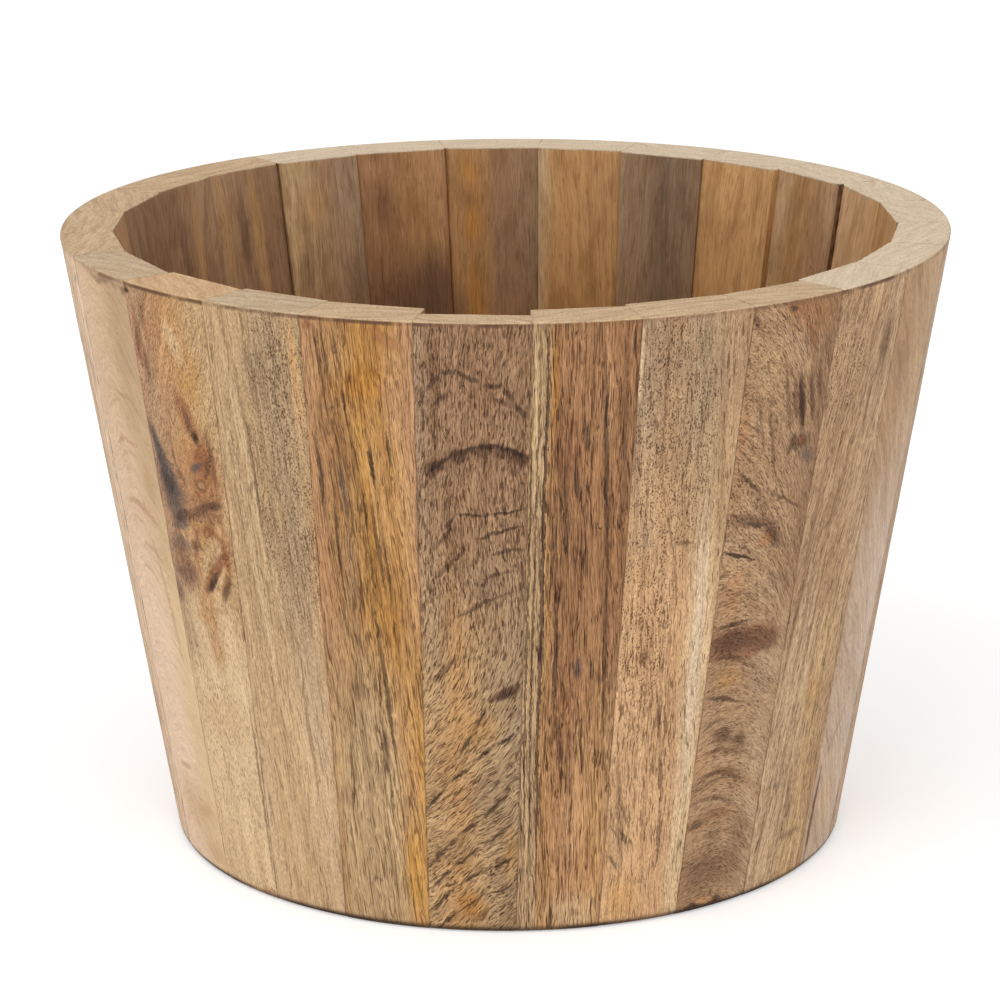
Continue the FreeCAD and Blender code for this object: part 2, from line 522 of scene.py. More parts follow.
@dataclass
class Look:
    """What one stave's wood looks like. Sizes are in mm, and a place is an angle and a height share.

    top and bottom are colours across the stave, each at its place from the middle line, and blend holds the
    height shares between which one becomes the other. inside is for the inner face.
    lean is how far the grain leans to the right at the foot and at the rim, in degrees, turning the height
    shares between which that changes, and arch how much it sags on both sides of a place.
    deep, grey and streak are how much the deeper parts, the greyer parts and the strands show, and calm is
    how much of the contrast is lost towards the foot. fibre is its contrast and length.
    dash and dot are pores: strength, width, length, and the limit or reach that sets how much wood they take.
    thread is for fine dark lines: strength, spacing and length. figure is the swirling figure's strength,
    width, dark colour, pale colour and zones. A zone, where there is more of something, is a place, half
    width and half height, and perhaps a strength and turn. lip is how strong the dark line under the rim is.
    marks lie on the outside and inner_marks on the inner face, each as a row. A patch is a place, half
    width, half height, colour, strength, turn, sag and soft share. A streak is two places, half its
    thickness, colour, strength, sag and soft share. The last values can be left out.
    """

    top: list
    # The bottom colours are the wood's own tone, made lighter as painted light bounced up from the floor
    bottom: list = None
    blend: tuple = (0.3, 0.6)
    lean: tuple = (0.0, 0.0)
    turning: tuple = (0.3, 0.7)
    arch: tuple = (0.0, 0.0)
    wave: float = 1.0
    deep: float = 0.35
    grey: float = 0.25
    calm: float = 0.0
    streak: float = 1.1
    fibre: tuple = (1.3, 9.0)
    dash: tuple = (0.7, 0.45, 7.0, 0.565)
    dash_zones: tuple = ()
    dot: tuple = None
    dot_zones: tuple = ()
    thread: tuple = None
    swirls: tuple = ()
    figure: tuple = None
    marks: tuple = ()
    inner_marks: tuple = ()
    inside: list = None
    end: tuple = (END_PALE, END_WOOD)
    lip: float = 0.35

    def __post_init__(self):
        self.bottom = self.bottom or self.top
        self.inside = self.inside or self.top


# The wood's noises, each with its size in mm across and along the grain
WAVE_SIZE, WAVE_PUSH = (9.0, 26.0), (3.2, 6.0)
SWIRL_SIZE, SWIRL_PUSH = (7.0, 9.0), 26.0
FRAY_SIZE, FRAY_PUSH = (1.2, 2.0), (1.3, 1.8)
DRIFT_SIZE, DRIFT_SHARE = (7.0, 30.0), 0.3
MOTTLE_SIZE, MOTTLE_STRENGTH = (5.5, 14.0), 0.5
DEEP_SIZE = (5.0, 45.0)
GREY_SIZE = (3.0, 30.0)
STRAND_SIZE = (1.2, 50.0)
FIBRE_WIDTH = 0.28
CROWD_SIZE = (1.6, 4.0)
GLUE_SIZE = (3.0, 9.0)
END_RINGS = (13.0, 1.2, 13.0)

# The sizes of those along the rim and the foot, in metres
FUZZ, SPECKS, LIP_BREAK_SIZE, FOOT_SHADOW = ((size, size) for size in (0.0005, 0.0006, 0.014, 0.02))

# Heights between which the end grain, the lip's dark line, the painted shadow along the foot and the painted
# shade deeper in the pot come in
RIM_END = (HEIGHT - 0.0006, HEIGHT - 0.0002)
FOOT_END = (0.0001, 0.0002)
LIP = (HEIGHT - 0.0018, HEIGHT - 0.0010)
PAINTED_FOOT_SHADOW = (0.0010, 0.0026)
POT_SHADE_HEIGHTS = (0.97 * HEIGHT, 0.6 * HEIGHT)
# Depths in mm between which the lip's dark line ends
LIP_DEPTH = (1.5, 2.5)

# The limits between which a noise turns into a mask
PATCHES = (0.46, 0.64)
GREY_PATCHES = (0.48, 0.64)
PALE_RINGS, DARK_RINGS = (0.49, 0.40), (0.52, 0.60)
CROWDS = (0.38, 0.62)
DASH_EDGE, DASH_FAINT = (-0.006, 0.022), (0.40, 0.60)
THREAD_EDGE = (0.010, 0.042)
DOT_EDGE = (-0.08, 0.05)
BROKEN, BROKEN_GLUE = (0.42, 0.56), (0.42, 0.58)
END_RING_TONES = (0.76, 1.12)
SPECK_EDGE = (0.53, 0.60)
SHADOW_PATCHES = (0.42, 0.55)
SHEEN = (0.35, 0.65)

# Strengths, each for the whole of a layer or for its weakest and strongest places
FAINT_STRENGTH = (0.55, 1.0)
GLUE_STRENGTH, GLUE_ON_RIM = (0.15, 0.7), 0.5
SPECK_STRENGTH = 0.35
LIP_WEAKEST = 0.25
SHADOW_STRENGTH = (0.7, 0.95)
RING_SHARE, FUZZ_SHARE = 0.95, 0.9
# Shares of the fibres, dashes and lines that are left on the inner face
FIBRE_INSIDE, DASH_INSIDE, LINE_INSIDE = 0.45, 0.4, 0.3
# How much crowds and zones move the limit of the dashes, and the reach of the dots
DASH_CROWD, DASH_ZONE, DASH_OUTSIDE = 0.025, 0.05, 0.03
DOT_CROWD = (0.65, 1.2)
# What each layer adds to the relief
FIBRE_RELIEF, DASH_RELIEF, END_RELIEF = -0.45, 0.6, 1.2
# How far the end grain turns, and how much that differs from stave to stave
END_TURN, END_TURN_STEP = 0.5, 2.3

# Farthest place of a colour from a stave's middle line, and how deep a mark reaches into the wood, in mm
RAMP_REACH = 20.0
FACE_DEPTH = 3.0
# Share of a zone's reach from which it fades
ZONE_SOFT = 0.5
# Distances from a seam in mm between which its glue line fades
GLUE_LINE = (0.05, 0.4)
# Steps between the seeds of the staves
SEED_STEP = 3.7
# The shader's own values
SPECULAR = 0.25
ROUGHNESS = (0.66, 0.84)
RELIEF_STRENGTH, RELIEF_DEPTH = 0.4, 0.00025


class Wood(Graph):
    """The wood of one stave or board, laid down layer by layer.

    local is the point in the wood's frame, and grain has its last coordinate along the grain. inward is the
    depth under the outer face in mm, and level the height in metres. The layers change color and height.
    """

    def __init__(self, name, place, look):
        self.material = bpy.data.materials.new(name)
        self.material.use_nodes = True
        super().__init__(self.material.node_tree)
        self.place = place
        self.look = look
        self.seed = seed = place.number * SEED_STEP
        self.middle = place.thickness / MM / 2
        self.here = self.add("ShaderNodeTexCoord", {}, out="Object")
        self.local = self.framed(self.here, place.location, tuple(place.rotation), (MM, MM, MM))
        self.level = self.split(self.here)[2]
        self.inward = self.split(self.local)[1]
        wave = tuple(look.wave * push for push in WAVE_PUSH)
        self.waved = self.shake(self.local, WAVE_SIZE, wave, seed)
        if look.swirls:
            swirl = self.times(self.most(look.swirls, self.local), SWIRL_PUSH)
            swirl = self.join(swirl, 0.0, swirl)
            self.waved = self.shake(self.local, SWIRL_SIZE, swirl, seed + 9, self.waved)
        self.bent = self.shake(self.local, WAVE_SIZE, (wave[0] / 2, wave[1] / 2), seed)
        self.frayed = self.shake(self.bent, FRAY_SIZE, FRAY_PUSH, seed)
        self.grain = self.along_grain()
        self.bands()
        if look.figure:
            self.figure(*look.figure)
        self.marks()
        self.fibres()
        self.dashes(*look.dash)
        if look.thread:
            self.threads(*look.thread)
        if look.dot:
            self.dots(*look.dot)
        if place.thickness:
            self.ends()
        self.glue_lines()
        self.finish()

    def along_grain(self):
        """Coordinates whose last one runs along the grain."""
        look = self.look
        x, y, z = self.split(self.waved)
        bend, centre = look.arch
        if bend:
            aside = self.minus(x, centre)
            z = self.times_plus(self.times(aside, aside), bend, z)
        low, high = (share * HEIGHT / MM for share in look.turning)
        inputs = {"Vector": self.join(x, y, self.minus(z, (low + high) / 2))}
        foot, rim = (self.add("ShaderNodeMapping", inputs | {"Rotation": (0, -math.radians(lean), 0)})
                     for lean in look.lean)
        if look.lean[0] == look.lean[1]:
            return foot
        inputs = {0: self.step(z, low, high), 4: foot, 5: rim}
        return self.add("ShaderNodeMix", inputs, out=1, data_type="VECTOR")

    def mask(self, row, vector, inside=False):
        """How much of a mark lies at each point, and its colour. A streak's fifth value is a number."""
        middle = self.place.spot(*row[:2], inside)
        if isinstance(row[4], (float, int)):
            along = self.place.spot(*row[2:4], inside) - middle
            middle, long, turn = middle + along / 2, along.length * STREAK_REACH, math.atan2(along.z, along.x)
            thick, color, strength, sag, soft = row[4:6] + fill(row[6:], (0.8, 0.0, 0.4))
        else:
            long, thick, color, strength, turn, sag, soft = row[2:5] + fill(row[5:], (0.6, 0.0, 0.0, 0.2))
            turn = math.radians(turn)
        local = self.framed(vector, middle, (0, -turn, 0), (long, MARK_DEPTH, thick))
        if sag:
            x, y, z = self.split(local)
            local = self.join(x, y, self.plus(z, self.times(self.times(x, x), sag / thick)))
        return self.step(self.vector("LENGTH", local, out="Value"), soft, 1.0, strength, 0.0), color

    def most(self, zones, vector):
        """The most that any zone holds at each point."""
        rows = [(*zone[:4], None, *fill(zone[4:], (1.0, 0.0)), 0.0, ZONE_SOFT) for zone in zones]
        return reduce(partial(self.math, "MAXIMUM"), [self.mask(row, vector)[0] for row in rows])

    def through_wall(self, outside, inside):
        """A value that changes halfway through the wall."""
        return self.step(self.inward, self.middle - 1, self.middle + 1, outside, inside)

    def weaker_inside(self, value, share):
        """A value of which only a share is left on the inner face."""
        if not self.place.thickness:
            return value
        return self.times(self.through_wall(1.0, share), value)

    def across(self, x, stops):
        """Colour across a stave, from stops in mm from its middle line."""
        if len(stops) == 1:
            return stops[0][1]
        shares = [(0.5 + at / RAMP_REACH / 2, color) for at, color in stops]
        return self.ramp(self.span(x, -RAMP_REACH, RAMP_REACH), shares)

    def bands(self):
        """Bands of colour across the stave that change with height, lighter towards the foot partly as
        painted light from the floor, those of the inner face, darker deeper in the pot as painted shade, and
        patches.
        """
        look, seed = self.look, self.seed
        x = self.split(self.waved)[0]
        drift = self.noise(self.waved, DRIFT_SIZE, seed + 2)
        level = self.times_plus(self.level, 1 / HEIGHT, -DRIFT_SHARE / 2)
        self.height_share = self.times_plus(drift, DRIFT_SHARE, level)
        upper = self.step(self.height_share, *look.blend)
        color = self.mix(upper, self.across(x, look.bottom), self.across(x, look.top))
        if self.place.thickness:
            # Painted shade: the inner face turns darker and warmer deeper in the pot
            painted_shade = self.span(self.level, *POT_SHADE_HEIGHTS)
            inner = self.tint(painted_shade, self.across(x, look.inside), POT_PAINTED_SHADE)
            mottle = self.noise(self.waved, MOTTLE_SIZE, seed + 1, 3.0, 0.6)
            inner = self.tint(self.span(mottle, *PATCHES, 0.0, MOTTLE_STRENGTH), inner, DEEPER)
            color = self.mix(self.through_wall(0.0, 1.0), color, inner)
        deep = self.noise(self.grain, DEEP_SIZE, seed, 3.0, 0.6)
        color = self.tint(self.span(deep, *PATCHES, 0.0, look.deep), color, DEEPER)
        grey = self.noise(self.grain, GREY_SIZE, seed + 3)
        self.color = self.tint(self.span(grey, *GREY_PATCHES, 0.0, look.grey), color, GREYER)

    def figure(self, strength, width, dark, pale, zones):
        """Swirling figure on the outside: dark lines and pale ones."""
        if zones:
            strength = self.times(self.most(zones, self.local), strength)
        strength = self.weaker_inside(strength, 0.0)
        rings = self.noise(self.grain, (width, width * 6), self.seed + 4, 2.5, 0.55)
        for color, limits in ((pale, PALE_RINGS), (dark, DARK_RINGS)):
            self.color = self.mix(self.times(self.step(rings, *limits), strength), self.color, color)

    def marks(self):
        """Patches and streaks laid on the outside and the inner face."""
        for inside, rows in enumerate((self.look.marks, self.look.inner_marks)):
            if rows:
                marked = self.color
                for row in rows:
                    share, color = self.mask(row, self.frayed, inside)
                    marked = self.mix(share, marked, color)
                edge = self.place.thickness / MM - FACE_DEPTH if inside else FACE_DEPTH
                on_face = self.step(self.inward, edge - 0.5, edge + 0.5, 1.0 - inside, 0.0 + inside)
                self.color = self.mix(on_face, self.color, marked)

    def fibres(self):
        """Strands and fibres, lighter and darker than the wood around them."""
        look, seed = self.look, self.seed
        contrast, length = look.fibre
        strand = self.noise(self.grain, STRAND_SIZE, seed, 3.0, 0.6)
        self.fibre = self.noise(self.grain, (FIBRE_WIDTH, length), seed, 1.5, 0.6)
        swing = self.times(self.minus(strand, 0.5), look.streak)
        swing = self.times_plus(self.minus(self.fibre, 0.5), contrast, swing)
        swing = self.weaker_inside(swing, FIBRE_INSIDE)
        if self.place.thickness:
            swing = self.times(swing, self.step(self.height_share, *look.blend, 1.0 - look.calm, 1.0))
        shade = self.mix(self.plus(swing, 0.5), LIGHTEST, DARKEST)
        self.color = self.tint(1.0, self.color, shade)
        self.height = self.times(self.fibre, FIBRE_RELIEF)

    def dashes(self, strength, width, length, limit):
        """Dark dashes along the grain, gathered in patches."""
        seed = self.seed
        strokes = self.noise(self.grain, (width, length), seed, 1.5, 0.6)
        crowd = self.noise(self.grain, (width * 7, length * 3), seed + 5)
        limit = self.span(crowd, *CROWDS, limit + DASH_CROWD, limit - DASH_CROWD)
        if self.look.dash_zones:
            zones = self.most(self.look.dash_zones, self.frayed)
            limit = self.times_plus(zones, -DASH_ZONE, self.plus(limit, DASH_OUTSIDE))
        body = self.step(self.minus(strokes, limit), *DASH_EDGE)
        faint = self.noise(self.grain, (width * 2, length), seed + 6, 1.0)
        body = self.times(body, self.span(faint, *DASH_FAINT, *FAINT_STRENGTH))
        dash = self.weaker_inside(body, DASH_INSIDE)
        self.color = self.tint(self.times(dash, strength), self.color, PORE)
        self.height = self.minus(self.height, self.times(dash, DASH_RELIEF))

    def threads(self, strength, spacing, length):
        """Fine dark lines that wander along the grain."""
        field = self.noise(self.grain, (spacing, length), self.seed + 7, 1.5)
        line = self.step(self.math("ABSOLUTE", self.minus(field, 0.5)), *THREAD_EDGE, 1.0, 0.0)
        gaps = self.noise(self.grain, (spacing, length / 5), self.seed + 8)
        thread = self.times(self.times(line, self.span(gaps, *BROKEN)), strength)
        self.color = self.tint(self.weaker_inside(thread, LINE_INSIDE), self.color, PORE)

    def dots(self, strength, width, length, reach):
        """Open pores cut across."""
        shaken = self.shake(self.stretch(self.grain, width, length, self.seed), (2, 2), (.5, .5), 0)
        cells = self.add("ShaderNodeTexVoronoi", {"Vector": shaken, "Scale": 1.0, "Randomness": 1.0})
        crowd = self.noise(self.grain, CROWD_SIZE, self.seed + 5)
        reach = self.span(crowd, *CROWDS, *(reach * share for share in DOT_CROWD))
        if self.look.dot_zones:
            reach = self.times(reach, self.most(self.look.dot_zones, self.frayed))
        dot = self.step(self.minus(cells, reach), *DOT_EDGE, 1.0, 0.0)
        self.color = self.tint(self.times(dot, strength), self.color, PORE)
        self.height = self.minus(self.height, dot)

    def ends(self):
        """End grain at the rim and under the foot, a thin dark line under the rim, and a painted shadow along
        the foot.
        """
        seed, lip = self.seed, self.look.lip
        fuzz = self.noise(self.here, FUZZ, 0.0, 3.0, 0.7)
        turn = END_TURN * math.sin(END_TURN_STEP * seed)
        rings = self.noise(self.framed(self.bent, (0, 0, 0), (0, 0, turn), END_RINGS), detail=2.5, rough=0.6)
        rings = self.plus(self.times(rings, RING_SHARE), self.times(fuzz, FUZZ_SHARE))
        end_color = self.mix(self.span(rings, *END_RING_TONES), *self.look.end)
        specks = self.noise(self.here, SPECKS, seed, 1.5, 0.6)
        end_color = self.tint(self.step(specks, *SPECK_EDGE, 0.0, SPECK_STRENGTH), end_color, DARKEST)
        foot = self.step(self.level, *FOOT_END, 1.0, 0.0)
        ends = self.math("MAXIMUM", self.step(self.level, *RIM_END), foot)
        # A thin dark line painted just under the rim's outer edge; worn is only noise that breaks it into
        # gaps
        near = self.times(self.step(self.level, *LIP), self.step(self.inward, *LIP_DEPTH, 1.0, 0.0))
        worn = self.noise(self.here, LIP_BREAK_SIZE, seed, 4.0, 0.6)
        near = self.times(near, self.span(worn, *BROKEN, LIP_WEAKEST * lip, lip))
        # Painted shadow: a dark band just above the foot, where it meets the floor
        shadow = self.span(self.noise(self.here, FOOT_SHADOW), *SHADOW_PATCHES, *SHADOW_STRENGTH)
        shadow = self.times(self.step(self.level, *PAINTED_FOOT_SHADOW, 1.0, 0.0), shadow)
        for share, color in ((near, UMBER), (shadow, DARK), (ends, end_color)):
            self.color = self.mix(share, self.color, color)
        self.height = self.times_plus(self.times(fuzz, ends), END_RELIEF, self.height)

    def glue_lines(self):
        """Glue lines at the seams."""
        gaps = self.noise(self.local, GLUE_SIZE, self.seed, 3.0)
        broken = self.span(gaps, *BROKEN_GLUE, *GLUE_STRENGTH)
        for normal, offset in self.place.planes():
            distance = self.minus(self.vector("DOT_PRODUCT", self.local, tuple(normal), out="Value"), offset)
            line = self.times(self.step(distance, *GLUE_LINE, 1.0, 0.0), broken)
            line = self.times(line, self.step(self.level, *RIM_END, 1.0, GLUE_ON_RIM))
            self.color = self.mix(self.weaker_inside(line, LINE_INSIDE), self.color, UMBER)

    def finish(self):
        """Lead the colour, the sheen and the relief to the shader."""
        shader = self.tree.nodes["Principled BSDF"]
        shader.inputs["Specular IOR Level"].default_value = SPECULAR
        inputs = {"Strength": RELIEF_STRENGTH, "Distance": RELIEF_DEPTH, "Height": self.height}
        relief = self.add("ShaderNodeBump", inputs)
        roughness = self.span(self.fibre, *SHEEN, *ROUGHNESS)
        for name, socket in (("Base Color", self.color), ("Roughness", roughness), ("Normal", relief)):
            self.tree.links.new(socket, shader.inputs[name])


# The end grain that several staves have in common, as its pale and its dark colour
TAN_END = (END_TAN, END_DARK)

# The look of each stave, by its number
LOOKS = {}
LOOKS[1] = Look([(-12, PEACH), (0, BUFF), (8, FAWN)], [(-12, PALE_PEACH), (2, PALE_PEACH), (10, CREAM)],
    (.3, .9), lean=(88, 88), arch=(.05, -3), wave=2.2, dash=(.12, .6, 6, .57), fibre=(.45, 3), streak=.45,
    deep=.12, grey=.08, lip=.6, end=(END_GREY, END_DARK),
    marks=[(-60, .985, 14, 2, UMBER, .5), (-54.6, .98, 2.4, 2, UMBER),
    (-63, .808, -55, .785, 1.1, TAN, .8, 3), (-67, .765, -61, .79, .9, PINK_TAN, .5, 1),
    (-66, .715, -58, .725, 1.2, PINK_TAN, .6, 2), (-65, .7, -58, .7, .8, TAN, .4, 3),
    (-66.5, .63, -55.5, .605, 1.5, PINK_TAN, .7, 6), (-63, .56, -57, .55, 1.2, PINK_TAN, .5, 6),
    (-59, .57, -56.3, .36, 1.2, PINK_TAN, .5), (-66, .585, -60, .59, .9, TAN, .35, 2),
    (-65, .515, -58, .5, 1, PINK_TAN, .35, 5), (-60, .9, 3, 3, TAN, .3), (-58, .93, 7, 12, TAN, .4),
    (-57, .67, 4, 9, OCHRE, .35), (-57, .86, 5, 9, GREY_TAN, .3), (-62, .1, -55.5, .115, 3, OCHRE, .35),
    (-58, .04, 9, 6, OCHRE, .35), (-62, .1, 15, 15, STRAW), (-66, .16, -61, .175, 1.2, ORANGE_TAN, .5)])
LOOKS[2] = Look([(-14, PINK_TAN), (-9, TAN), (-3, APRICOT), (4, HONEY), (14, STRAW)],
    [(0, CREAM)], (.4, .54), lean=(-3, 24), turning=(.5, .8),
    dash=(.5, .4, 1.6, .56), streak=.8, fibre=(1.5, 1.1), calm=.5, deep=.3, grey=.15, lip=.9,
    end=(END_ORANGE, END_RUST), swirls=[(-46, .66, 13, 26, .8), (-46, .58, 12, 14, .6)],
    figure=(.6, 3, UMBER, SAND, [(-46, .63, 15, 26)]),
    marks=[(-46.8, .955, -43.2, .87, 3.6, CREAM, .5), (-43, .87, 7, 12, GOLD, .5),
    (-47.5, .8, 5, 12, TAN, .5), (-46.5, .665, 17, 18, RUSSET, .5), (-43, .72, 9, 17, RUSSET, .9),
    (-42, .57, 4.5, 14, RUSSET, .85, -14), (-42.8, .735, 5, 8, RUST),
    (-52.8, .66, -41, .65, 5, RED_BROWN, .5), (-53.5, .985, 1.8, 1.4, DARK, .9),
    (-42.2, .785, -41, .7, 1.6, CHESTNUT, .7), (-52.6, .97, -52.2, .84, 2.4, RUST, .55),
    (-50.8, .985, -50.5, .9, 1.8, RUST, .5), (-51.8, .9, -51.6, .84, 1.4, UMBER, .5),
    (-52.9, .93, -53, .86, 1, UMBER, .4), (-46.6, .845, -43.6, .765, 4, RUST, .65),
    (-45.6, .82, -44, .77, 1.6, UMBER, .6), (-43.8, .772, 1.9, 2.8, DARK, .95, 0, 0, .3),
    (-46, .712, -43.2, .732, 1.8, SLATE, .85, 0, .2), (-44.8, .735, -42, .76, 1.4, RUST, .7),
    (-43.4, .7, -41.4, .76, 1.3, UMBER, .55), (-44.2, .694, 3, 2.6, UMBER, .8, 0, 0, .3),
    (-44.2, .695, 1.9, 1.5, ORANGE_TAN, 1, 0, 0, .3), (-45.6, .685, -44.6, .675, 1, RUST, .7),
    (-41.6, .79, -41.3, .69, 1.2, UMBER, .5), (-49.4, .77, -49, .71, 1.2, UMBER, .4),
    (-49.1, .72, -47.2, .685, 1.2, UMBER, .5), (-53.8, .79, -51.4, .68, 2.8, SLATE, 1, 0, .2),
    (-52.8, .74, -50, .655, 6, SLATE, .95, 0, .2), (-50.8, .672, 8, 7, SLATE, .9, -12),
    (-52.4, .7, -50.4, .665, 3.5, DARK, .55), (-53.4, .652, -48, .628, 4.5, SLATE, .75),
    (-51.8, .62, -46.5, .645, 2.6, DARK, .6), (-52.6, .612, -48, .62, 1.6, SLATE, .7),
    (-47.4, .635, -42.4, .675, 2.8, UMBER, .7, 0, .2), (-43.8, .66, -40.6, .672, 1.8, DARK, .65),
    (-47.4, .588, 1.6, 3.2, UMBER, .8), (-51.2, .582, 8, 4.5, SLATE, .65, 0, 0, .1),
    (-50.6, .535, 8, 5.5, SLATE, .75, 0, 0, .1), (-52, .59, -50, .5, 5, RED_BROWN, .6),
    (-53.4, .5, 3, 5, SLATE), (-44.6, .575, 10, 4.8, STRAW, .85, 58, 0, .3),
    (-46.4, .54, -43, .6, .9, OCHRE, .7), (-45.6, .53, -42.2, .6, .8, CREAM, .6),
    (-47.4, .508, -41.4, .595, 2.6, RUST, .85), (-46.8, .512, -43, .56, 1.8, DARK, .8, 0, .2),
    (-44.6, .52, -41.4, .575, 1.3, SAND, .75), (-43.6, .5, -41, .555, 2, UMBER, .85, 0, .2),
    (-45.9, .628, -41.4, .612, 1.4, RUST, .7, 3), (-41.9, .61, -41.2, .56, 1.4, RUST, .7),
    (-48.4, .6, -47, .53, 1, RUST, .5), (-52.6, .42, 5, 10, GREY_TAN, .4), (-47, .3, 16, 13, SAND),
    (-48, .47, 6, 4, GOLD, .35), (-46, .49, -42, .49, 1.4, RUST, .35),
    (-41.2, .36, -41.8, .02, .6, UMBER, .6), (-43.5, .012, 5, 2, ORANGE_TAN)])
LOOKS[3] = Look([(-14, SAND), (-8, KHAKI), (0, KHAKI), (8, KHAKI_GREY), (14, KHAKI)],
    [(-14, BUFF), (-8, SAND), (0, SAND), (8, BUFF), (14, SAND)], (.25, .6), lean=(-2, -2), lip=.9,
    dash=(.5, .4, 9, .57), streak=1, fibre=(1.4, 1.2), calm=.3, deep=.25, end=(END_GREY, END_DARK),
    dot=(.68, .5, .9, .37),
    dot_zones=[(-29.5, .78, 15, 80, .9, -2), (-28.6, .86, 5, 36, 1.2), (-27.2, .68, 4.5, 40, 1.1)],
    marks=[(-37, .97, -32, .45, 2.4, CREAM, .35), (-38, .9, -34, .3, 1.8, CREAM, .4),
    (-35.4, .94, -33.6, .62, .9, UMBER, .45), (-34.5, .85, -33.5, .5, .7, UMBER, .35),
    (-26.6, 1, -26.2, .8, 1.8, HONEY, .6), (-25.9, .74, -26.4, .4, 1.3, APRICOT, .6),
    (-32, .9, 5, 13, DUSK, .35), (-33, .55, -31, .1, 1.8, SAND, .5), (-30.5, .4, -30, .2, .8, UMBER, .4)])
LOOKS[4] = Look([(-15, HONEY), (-12, APRICOT), (-6, OCHRE), (-3, OCHRE), (2, GOLD), (8, GOLD),
    (12, HONEY), (15, APRICOT)],
    [(-15, HONEY), (-11, STRAW), (-4, KHAKI), (3, STRAW), (8, HONEY), (14, YELLOW_GOLD)], (.3, .57),
    lean=(-3, -3), dash=(.7, .3, 6, .557), dash_zones=[(-20.5, .6, 8, 100), (-17, .3, 9, 50)],
    thread=(.75, 1, 90), streak=1.2, fibre=(1.2, 2.5), grey=.15, calm=.2, lip=.9, end=TAN_END,
    marks=[(-18, .9, 7, 14, DEEP_GOLD, .6, -75), (-17, .99, -12, .95, 2.6, RUST, .5),
    (-16.8, .86, -15.6, .58, 3.8, HONEY, .6), (-14, .87, 5, 18, APRICOT), (-14.6, .1, 4, 22, YELLOW_GOLD, .8),
    (-21, .6, 3, 20, GREY_TAN, .3), (-20.5, .93, 3, 14, HONEY, .5),
    *path([(-20.8, .99), (-20.2, .9), (-19.6, .82), (-18.8, .75), (-18.3, .65), (-18, .55),
    (-18, .45)], .5, DARK, .7, 0, .3),
    *path([(-18, .47), (-18.3, .36), (-17.8, .28), (-17.5, .18)], .5, DARK, .6, 0, .3),
    (-24, .985, 3.4, 1.8, RUST), (-17.3, .81, -16.9, .735, .9, SOOT, .85),
    (-14.8, .825, -14.4, .765, .7, SOOT, .7), (-24.3, .82, -24, .68, .8, DARK, .7),
    (-23.2, .99, -22.2, .84, .7, UMBER, .7), (-22.3, .99, -21.6, .86, .6, UMBER, .6),
    (-21.4, .78, -21, .69, 1, SLATE, .7), (-22.6, .72, -22.3, .58, .7, DARK, .6),
    (-17.6, .72, -16.4, .55, .8, DARK, .7), (-16.4, .7, -15.4, .52, .7, UMBER, .6),
    (-17.9, .5, -16.4, .28, .8, DARK, .7), (-21.5, .4, 5, 4, UMBER, .35),
    (-17.8, .34, -18.2, .26, 1.6, UMBER, .6), (-24.8, .22, 3, 5, EARTH, .4)])
LOOKS[5] = Look([(-15, GREY_TAN), (-8, BROWN), (10, BROWN)],
    [(-15, STRAW), (-4, HONEY), (4, KHAKI), (12, KHAKI_GREY)], (.35, .72), lean=(42, 4), turning=(.1, .75),
    dash=(.9, .36, 3, .533), wave=1.1, deep=.45, grey=.3, streak=1.4, calm=.4, fibre=(1.7, 1.8), lip=.9,
    end=TAN_END, figure=(.4, 1.2, EARTH, STRAW, [(-5, .16, 20, 44), (-4, .62, 16, 22, .6)]),
    marks=[(-10, .5, 4, 40, KHAKI_GREY, .5), (-3, .6, 11, 12, DUSK, .35), (-4, .35, 8, 8, GOLD, .45),
    (-3, .24, 6, 12, DUSK, .4, -25), (-8, .15, 7, 8, DUSK, .3, 30), (-6, .05, 5, 7, DEEP_GOLD, .6, 40),
    (0, .14, 3, 12, GOLD, .5), *path([(-10, .89), (-8, .92), (-5.5, .925), (-3, .905), (-.5, .9), (1, .87),
    (2.6, .85)], 1.1, DARK, .65), (-9.6, .865, -6.6, .895, .9, UMBER, .6),
    (-2.5, .885, 2.2, .862, .9, UMBER, .6),
    *path([(-10.6, .762), (-7.5, .787), (-5, .8), (-2, .803), (.5, .797), (2.8, .78)], 3, UMBER, .9),
    *path([(-10, .765), (-7, .793), (-4, .806), (-1, .808), (2.6, .79)], 1, DARK, .85),
    (-3, .785, 14, 5, EARTH, .4, 0, 3),
    *path([(-8, .675), (-6.5, .698), (-3, .7), (-2.4, .705), (2.2, .708)], .7, DARK, .75),
    (-4.5, .665, 2, .685, .9, DARK, .75, 1), (-2.8, .64, 2.3, .648, .7, DARK, .6, 1),
    (-9.6, .64, -6.8, .685, .8, UMBER, .7), (-10, .59, -5, .65, .8, UMBER, .6),
    (-6, .55, 1, .58, .8, UMBER, .6, 1), (-7, .535, -3, .56, .7, DARK, .6),
    (-11, .42, -7, .475, 1.2, UMBER, .7), (-4, .6, 1.8, .615, .8, UMBER, .5),
    *path([(-7.2, .3), (-5, .345), (-2.8, .395), (-1.8, .405)], .9, DARK, .85, 0, .2),
    (-2.6, .402, 1.8, .424, 2.2, UMBER, .95, .5),
    *path([(-13, .2), (-9, .255), (-5, .29), (-2, .325), (1.6, .347)], .8, DARK, .9, 0, .2),
    *path([(-13, .1), (-8, .165), (-4, .195), (-1, .24)], .9, DARK, .8, 0, .2),
    *path([(-13, .065), (-8, .12), (-4, .15), (.6, .195)], .7, DARK, .8, 0, .2),
    *path([(-13, .03), (-8, .085), (-3, .115), (1, .135)], .8, DARK, .85, 0, .2),
    *path([(-12, 0), (-8, .04), (-4, .065), (.5, .085)], .7, DARK, .8, 0, .2)])
